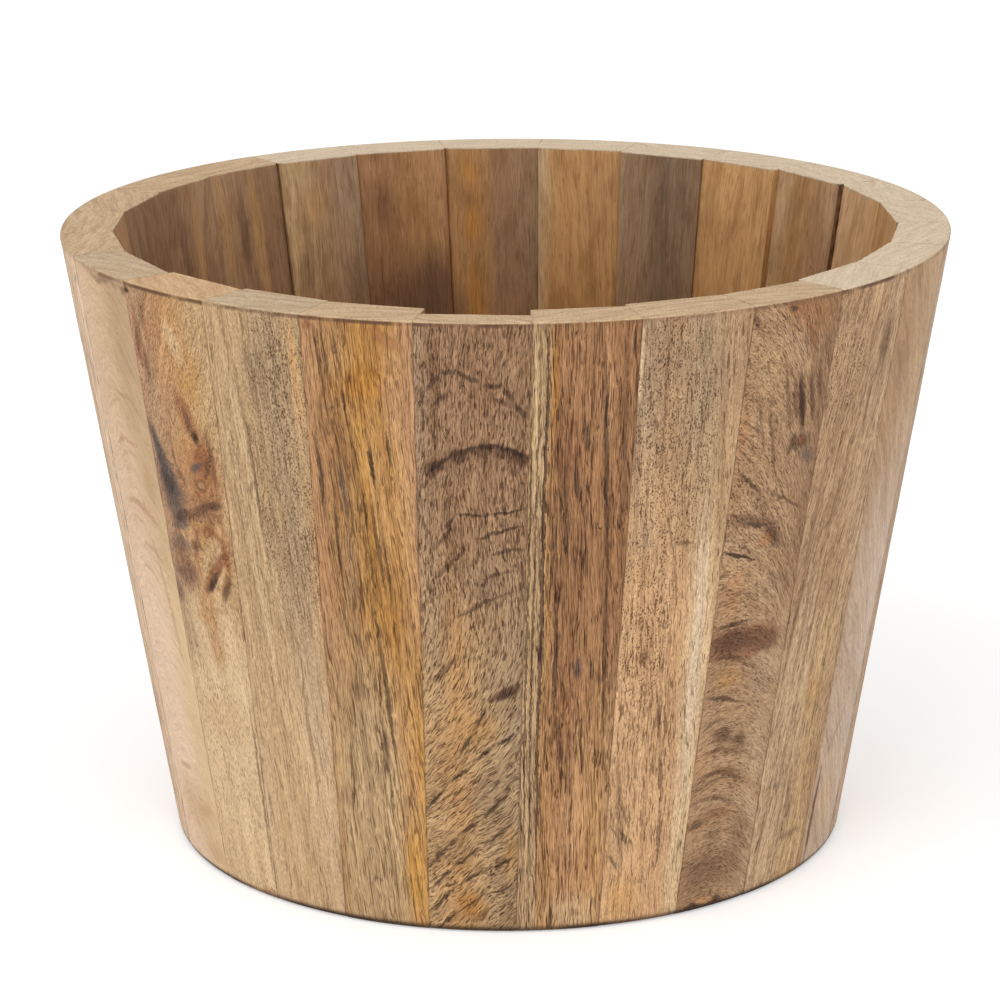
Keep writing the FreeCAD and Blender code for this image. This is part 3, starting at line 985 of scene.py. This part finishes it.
LOOKS[6] = Look(
    [(-13, STRAW), (-8.2, KHAKI), (-7, OCHRE), (-5.5, HAZEL), (0, HAZEL), (5, HAZEL), (14, HAZEL)],
    [(-13, SAND), (-8.4, KHAKI), (-7, HONEY), (0, APRICOT), (8, HONEY), (13, TAN)], (.1, .6),
    lean=(-1.5, -1.5), dash=(.85, .32, 7, .555), thread=(.95, .85, 60), deep=.45, grey=.15, streak=1.4,
    fibre=(1.3, 3), lip=.4, end=TAN_END,
    dash_zones=[(7.5, .7, 8, 44), (8, .38, 8, 34), (14, .55, 3.5, 80), (5.8, .3, 3, 60, .8)],
    marks=[(3.2, 1, 1.9, .05, .45, DARK, .7), (4, 1, 2.7, .05, .4, DARK, .65),
    (4.9, 1, 4, .1, .6, UMBER, .85, 0, .7), (5.8, .9, 1.5, 20, DEEP_GOLD, .5), (8, .8, 6, 12, RUST, .3),
    (9, .42, 5, 14, RUST, .25), (14.6, .8, 1.6, 40, UMBER, .4), (12, .9, 2.4, 24, APRICOT, .5),
    (10, .03, 12, 9, SAND, .8), (11.5, .95, 13.3, .6, .9, DARK, .7), (13, .62, 13.6, .3, .9, UMBER, .7),
    (9.6, .845, 9.9, .795, 1.4, SOOT, .6), (8.5, .785, 8.9, .72, 1.2, SOOT, .6),
    (9.6, .45, 1.6, 5, SLATE, .7), (7, .37, 7.6, .29, 1.3, UMBER, .6), (7.2, .8, 7.6, .62, 1, DARK, .6),
    (6.3, .6, 6.6, .35, .9, DARK, .6)])
LOOKS[7] = Look([(-15, CREAM), (-13, GREY_TAN), (-4, TAN), (4, KHAKI_GREY), (13, TAN)],
    [(-13, WARM_SAND), (4, WARM_SAND), (8, CREAM), (13, SAND)], (.5, .95), lean=(-2, -2),
    dash=(.75, .45, 5, .565), dash_zones=[(20, .34, 11, 56)], streak=1, fibre=(1.3, 1.2), lip=.3,
    end=TAN_END, dot=(.75, .58, .85, .36), dot_zones=[(21, .8, 18, 56), (19, .55, 11, 50, .95)],
    marks=[(16.1, 1, 15.9, .86, 1.4, CREAM, .9), (21, .93, 5, 10, DUSK, .4), (18, .65, 3, 10, GREY_TAN, .5),
    (26, .9, 5, 14, DUSK, .3),
    *path([(19.4, 1), (19.6, .76), (20.6, .69), (22.4, .61), (23.4, .52)], .5, UMBER, .5),
    (22, .638, 25.4, .636, .8, UMBER, .5), (27, .45, 3, 60, ASH_PALE, .5),
    *path([(21.4, .4), (22.6, .3), (23.4, .2), (23.6, .1)], .8, UMBER, .65),
    (16, .3, 17.5, .1, 1.5, UMBER, .5), (22.2, .375, 21.4, .33, 1, UMBER, .5),
    (17, .17, 18.5, .14, .7, DARK, .6), (15.4, .13, 17, .1, .7, DARK, .6),
    (15.2, .18, 16.8, .155, .6, DARK, .5), (17, .22, 18.4, .17, .6, DARK, .5),
    (18, .05, 6, 10, YELLOW_GOLD, .4), (18, .6, 6, 8, HONEY, .3)])
LOOKS[8] = Look([(-14, TAN), (-4, TAN), (6, TAN), (14, BROWN)], [(-13, TAN), (0, TAN), (8, FAWN), (14, TAN)],
    (.4, .55), lean=(-88, -42), turning=(.4, .75), arch=(.04, -5), dash=(.7, .36, 1.6, .55), wave=.8,
    streak=1, fibre=(1.5, 1.1), calm=.3, deep=.45, lip=.5, end=TAN_END,
    figure=(.25, 1.3, EARTH, FAWN, [(34, .35, 12, 60), (36, .66, 16, 24, .9)]),
    marks=[(34, .9, 6, 14, STRAW, .45), (39.6, .98, 14, 9, HAZEL, .75, -22, 0, .5),
    (38, .985, 9, 4, RUST, .35, -20), (39.4, .955, 41.2, .91, 2.2, RUST, .6),
    (30.6, .985, 31.4, .96, 1.4, UMBER, .6),
    *path([(33.6, .99), (36, .965), (38.6, .942), (40, .9)], .45, UMBER, .6),
    (38.8, .885, 40.6, .785, 1.9, UMBER, .9), (39.2, .86, 40.6, .79, 1, DARK),
    (40.6, .89, 42.2, .8, 1.2, UMBER, .7), (37.9, .88, 39.2, .8, 1.1, UMBER, .6),
    (42.2, .9, 43, .82, 1, UMBER, .6), (36.2, .9, 38.6, .78, .9, UMBER, .5),
    (34.4, .84, 36.8, .72, .9, UMBER, .5), (32.6, .86, 34.6, .76, .8, UMBER, .4),
    (40.3, .77, 5.5, 3.6, UMBER, .85), (40.5, .772, 2, 1.4, RUST, .9), (42, .745, 5, 3.4, SLATE, .6, -40),
    (39.4, .79, 38.4, .75, 1.2, UMBER, .7), (30.9, .81, 3.2, 16, CHESTNUT, .5), (31, .7, 3, 12, CHESTNUT, .4),
    (32, .53, 5, 10, RUSSET, .4), (30.8, .74, 34.8, .698, .9, DARK, .7),
    (30.4, .668, 36, .65, 2.8, UMBER, .65), (35.4, .662, 39.6, .6, 2.8, UMBER, .65),
    (36.4, .985, 1.8, 1.4, DARK, .7), (33, .655, 36.5, .645, 1.1, DARK, .6),
    (36.6, .64, 38.6, .61, 1.1, DARK, .6), (29.8, .614, 35.2, .592, .7, DARK, .9, 0, .5),
    (36, .7, 43, .655, .9, UMBER, .6), (32.5, .565, 5, 5, APRICOT), (36.4, .62, 4, 3, RUSSET),
    (39, .55, 6, 4, DUSK, .35), (34.5, .455, 17, 6.2, RED_BROWN, .9, 2, 0, .6),
    (33.5, .462, 12, 4, UMBER, .45, 2), (29.2, .465, 36, .455, 5, UMBER, .5),
    (35, .462, 42, .44, 4.4, UMBER, .45), (29.3, .487, 36, .49, 1, DARK, .65),
    (29.4, .44, 36, .43, 1, DARK, .5, 2), (33, .4, 6, 5, GOLD, .45), (39, .38, 5, 9, GREY_TAN, .7),
    (29.6, .375, 36, .355, 1, DARK, .7, 1), (33.2, .3, 5, 4, UMBER, .75), (36.4, .288, 4, 4, UMBER, .65),
    (29.3, .32, 33, .335, .9, UMBER, .6, 2), (29, .285, 38, .265, 1, UMBER, .6, 4),
    (29, .25, 39, .22, 1, UMBER, .6, 4), (29, .21, 38, .18, 1, UMBER, .5, 4), (30, .26, 4, 6, APRICOT, .5),
    (30.4, .152, 4, 2, DARK, .6, 8), (29, .145, 33, .152, .9, APRICOT, .7), (34, .165, 5, 4, RUST, .35),
    (33.6, .13, 4, 4, UMBER, .4), (33, .07, 12, 11, EARTH, .7), (39, .1, 6, 16, EARTH, .55),
    # The dark streak just above the foot, from 29.4 to 37.4 degrees, is painted shadow where the pot meets
    # the floor
    (29.4, .016, 37.4, .016, 1.8, DARK, .9, 2.5), (33.2, .017, 4.2, 1.6, APRICOT, 1, -5, 0, .5)])
LOOKS[9] = Look([(-15, TAN), (-6, TAN), (2, TAN), (15, FAWN)],
    [(-14, FAWN), (-4, FAWN), (4, STRAW), (14, TAN)], (.4, .6), lean=(4, 9), dash=(.6, .4, 4, .56),
    dot=(.7, .5, .8, .34), dot_zones=[(48, .88, 12, 26)], streak=1.5, fibre=(1.4, 1.6), lip=.9,
    marks=[(55.8, .9, 4.2, 12, EARTH, .75), (52, .97, 3, 8, STRAW), (53.7, .85, 53.9, .73, 1.2, DUSK, .7),
    (46, .7, 44, .35, 1.5, EARTH, .5), (47.5, .65, 46, .3, 1.1, EARTH, .45), (52, .33, 4, 12, GOLD, .4),
    (46.3, .18, 2, 2, DUSK, .7), (49, .2, 51, .1, 1.1, EARTH, .5), (49, .085, 55, .08, 1.8, EARTH, .5),
    (51, .05, 7, 5, STRAW)])
LOOKS[10] = Look([(-15, TAN), (-6, TAN), (14, FAWN)], [(-14, ASH), (14, ASH_PALE)], (.5, .8), lean=(-30, -30),
    dash=(.2, .6, 8, .57), streak=.7, fibre=(.7, 3),
    marks=[(59, .84, 64, .8, 1, GREY_TAN, .7), (60.5, .9, 4, 12, TAN),
    (59.5, .17, 66, .27, 1.4, GREY_TAN, .6), (59.6, .18, 59, 0, 1.3, UMBER, .85), (64, .1, 10, 14, SAND, .4)])
LOOKS[11] = Look([(-14, ASH), (10, FAWN)], streak=.8, fibre=(.8, 9))
LOOKS[12] = Look([(-14, HONEY), (0, TAN), (14, KHAKI)], lean=(4, 4), inside=[(0, HONEY)])
LOOKS[13] = Look([(-14, TAN), (0, OCHRE), (14, APRICOT)], lean=(-4, -4), swirls=[(108, .64, 12, 20)],
    inside=[(-12, HONEY), (-4, WARM_SAND), (10, WARM_SAND)],
    marks=[(108, .64, 7, 14, RUST, .5), (108.4, .64, 3, 4.5, UMBER, .85, 20, 0, .4)])
LOOKS[14] = Look([(-14, KHAKI_GREY), (10, GREY_BROWN)], inside=[(-12, TAN), (5, OCHRE), (13, SAND)])
# The pale colour at the inner face's left edge is painted light on the side of the step to stave 14, which
# otherwise lies in shade
LOOKS[15] = Look([(-14, OCHRE), (0, GOLD), (14, STRAW)],
    inside=[(-14.5, ASH_PALE), (-12.5, LIGHT_HONEY), (10, LIGHT_HONEY)])
LOOKS[16] = Look([(-14, GREY_BROWN), (14, BROWN)], dash=(.7, .5, 12, .55),
    inside=[(-14, GREY_BROWN), (0, DUSK), (7, GREY_BROWN), (14, KHAKI_GREY)])
LOOKS[17] = Look([(-14, STRAW), (14, OCHRE)], lean=(30, 4),
    figure=(.35, 2.2, EARTH, SAND, [(167, .4, 14, 70)]),
    inside=[(-12, HONEY), (4, HONEY), (10, HONEY), (13, SAND)])
LOOKS[18] = Look([(-14, GREY_TAN), (14, OCHRE)],
    inside=[(-14, STRAW), (-12, GREY_BROWN), (-5, BROWN), (0, BROWN), (4, OCHRE), (14, OCHRE)],
    inner_marks=[*path([(186.6, 1), (185, .92), (185.6, .82), (184.6, .66)], 4.2, DEEP_GOLD, .55, 0, .1),
    (188, .7, 5, 18, UMBER, .5)])
LOOKS[19] = Look([(-14, RED_BROWN), (14, BROWN)], inside=[(-12, APRICOT), (-6, OCHRE), (10, HAZEL)],
    inner_marks=[(200.5, .9, 5, 10, UMBER, .45), (192, .76, 9, 18, UMBER, .7), (202, .97, 5, 5, APRICOT, .4),
    (197, .7, 24, 30, UMBER, .75)])
LOOKS[20] = Look([(-14, KHAKI), (14, GREY_TAN)], thread=(.8, 1.1, 70),
    inside=[(-12, GREY_TAN), (0, TAN), (10, STRAW)],
    inner_marks=[(213, .92, 6, 10, HONEY, .5), (206, .78, 7, 14, UMBER, .35), (216, .8, 4, 12, UMBER, .4)])
LOOKS[21] = Look([(-14, BROWN), (14, RED_BROWN)], inside=[(-12, BROWN), (-4, BROWN), (10, TAN)],
    end=TAN_END,
    inner_marks=[(224.8, 1, 224, .74, 3.2, OCHRE, .85), (227.6, .98, 227.2, .8, 2.4, UMBER, .5),
    (231.5, 1, 231, .8, 2.4, OCHRE, .7)])
LOOKS[22] = Look([(-14, OCHRE), (14, RED_BROWN)], lean=(-40, -10), arch=(.03, -4),
    figure=(.4, 1.8, UMBER, FAWN, ()), inside=[(-12, TAN), (10, BROWN)], end=TAN_END,
    inner_marks=[(239, .99, 238.6, .8, 3, OCHRE, .7), (243, .98, 242.6, .82, 2.4, UMBER, .4)])
LOOKS[23] = Look([(-14, TAN), (14, GREY_TAN)], inside=[(-12, BROWN), (10, BROWN)], end=TAN_END)
LOOKS[24] = Look([(-14, OCHRE), (14, STRAW)], thread=(.7, 1.3, 60), inside=[(0, APRICOT)], end=TAN_END)
LOOKS[25] = Look([(-14, BUFF), (14, PALE_PEACH)], lean=(3, 3), inside=[(0, STRAW)], end=TAN_END)

FLOOR_LOOK = Look([(-16, OCHRE), (0, TAN), (16, KHAKI)])


def add_object(name, data):
    """A new object in the scene."""
    thing = bpy.data.objects.new(name, data)
    bpy.context.scene.collection.objects.link(thing)
    return thing


def dress_staves():
    """Give every stave its finer mesh and its wood."""
    for number in range(1, STAVE_COUNT + 1):
        stave = Stave(number)
        node = f"stave_{number:02d}"
        piece = add_object(f"{node}_wood", StaveMesh(stave).build())
        piece.data.materials.append(Wood(f"wood_{number:02d}", stave, LOOKS[number]).material)
        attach(piece, "root")
        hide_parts(node)


def dress_floor():
    """Give every floor board its wood."""
    for number in range(1, FLOOR_BOARD_COUNT + 1):
        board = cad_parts[f"floor_board_{number}"]
        board.data.materials.clear()
        board.data.materials.append(Wood(f"floor_wood_{number}", Board(number), FLOOR_LOOK).material)


# The stage
FLOOR_REACH = 6.0
FLOOR_SHADE = 0.9
FLOOR_GLOW = 0.32
SKY_STRENGTH = 0.72
LAMP_DISTANCE = 1.6
# Each lamp's azimuth and elevation in degrees, size in metres and power in watts
LAMPS = {"key": (-35, 42, 1.4, 9), "fill": (45, 16, 1.6, 6)}


def glow_for_camera(graph, strength):
    """A strength that only the camera sees."""
    return graph.times(graph.add("ShaderNodeLightPath", {}, out="Is Camera Ray"), strength)


def make_floor():
    """A pale floor that looks white where no shadow falls."""
    mesh = bpy.data.meshes.new("stage_floor")
    r = FLOOR_REACH
    mesh.from_pydata([(-r, -r, 0), (r, -r, 0), (r, r, 0), (-r, r, 0)], [], [(0, 1, 2, 3)])
    floor = add_object("stage_floor", mesh)
    material = bpy.data.materials.new("stage_white")
    material.use_nodes = True
    shader = material.node_tree.nodes["Principled BSDF"]
    matt = {"Roughness": 1.0, "Specular IOR Level": 0.0, "Emission Color": (1, 1, 1, 1)}
    for name, value in matt.items():
        shader.inputs[name].default_value = value
    shader.inputs["Base Color"].default_value = (FLOOR_SHADE, FLOOR_SHADE, FLOOR_SHADE, 1)
    glow = glow_for_camera(Graph(material.node_tree), FLOOR_GLOW)
    material.node_tree.links.new(glow, shader.inputs["Emission Strength"])
    mesh.materials.append(material)


def make_sky():
    """White surroundings."""
    world = bpy.data.worlds.new("surroundings")
    bpy.context.scene.world = world
    world.use_nodes = True
    graph = Graph(world.node_tree)
    background = graph.tree.nodes["Background"]
    background.inputs["Color"].default_value = (1, 1, 1, 1)
    strength = graph.plus(glow_for_camera(graph, 1 - SKY_STRENGTH), SKY_STRENGTH)
    graph.tree.links.new(strength, background.inputs["Strength"])


def make_lamp(name, azimuth, elevation, size, power):
    """A soft square lamp, aimed at the middle of the pot."""
    light = bpy.data.lights.new(name, "AREA")
    light.size = size
    light.energy = power
    lamp = add_object(name, light)
    a, e = math.radians(azimuth), math.radians(elevation)
    way = Vector((math.sin(a) * math.cos(e), -math.cos(a) * math.cos(e), math.sin(e)))
    lamp.location = way * LAMP_DISTANCE + Vector((0, 0, HEIGHT / 2))
    lamp.rotation_euler = way.to_track_quat("Z", "Y").to_euler()


# The camera, at the photograph's place, in rim radii from the centre of the foot
CAMERA_PLACE_SHARES = (-0.0156, -8.4044, 3.1703)
CAMERA_PITCH = 0.2802
CAMERA_ROLL = -0.0055
FOCAL_PIXELS = 3800
PHOTO_PIXELS = 1000
SENSOR = 36.0


def make_camera():
    """The camera at the photograph's angle."""
    forward = Vector((0, math.cos(CAMERA_PITCH), -math.sin(CAMERA_PITCH)))
    side = forward.cross(Vector((0, 0, 1))).normalized()
    rise = side.cross(forward)
    right = side * math.cos(CAMERA_ROLL) + rise * math.sin(CAMERA_ROLL)
    up = rise * math.cos(CAMERA_ROLL) - side * math.sin(CAMERA_ROLL)
    camera = bpy.data.cameras.new("camera")
    camera.sensor_width = SENSOR
    camera.lens = SENSOR * FOCAL_PIXELS / PHOTO_PIXELS
    thing = add_object("camera", camera)
    turn = Matrix((right, up, -forward)).transposed().to_4x4()
    thing.matrix_world = Matrix.Translation(Vector(CAMERA_PLACE_SHARES) * RIM_RADIUS) @ turn
    bpy.context.scene.camera = thing


dress_staves()
dress_floor()
make_floor()
make_sky()
for name, lamp in LAMPS.items():
    make_lamp(name, *lamp)
make_camera()
bpy.context.scene.view_settings.view_transform = "Standard"

bpy.context.view_layer.update()
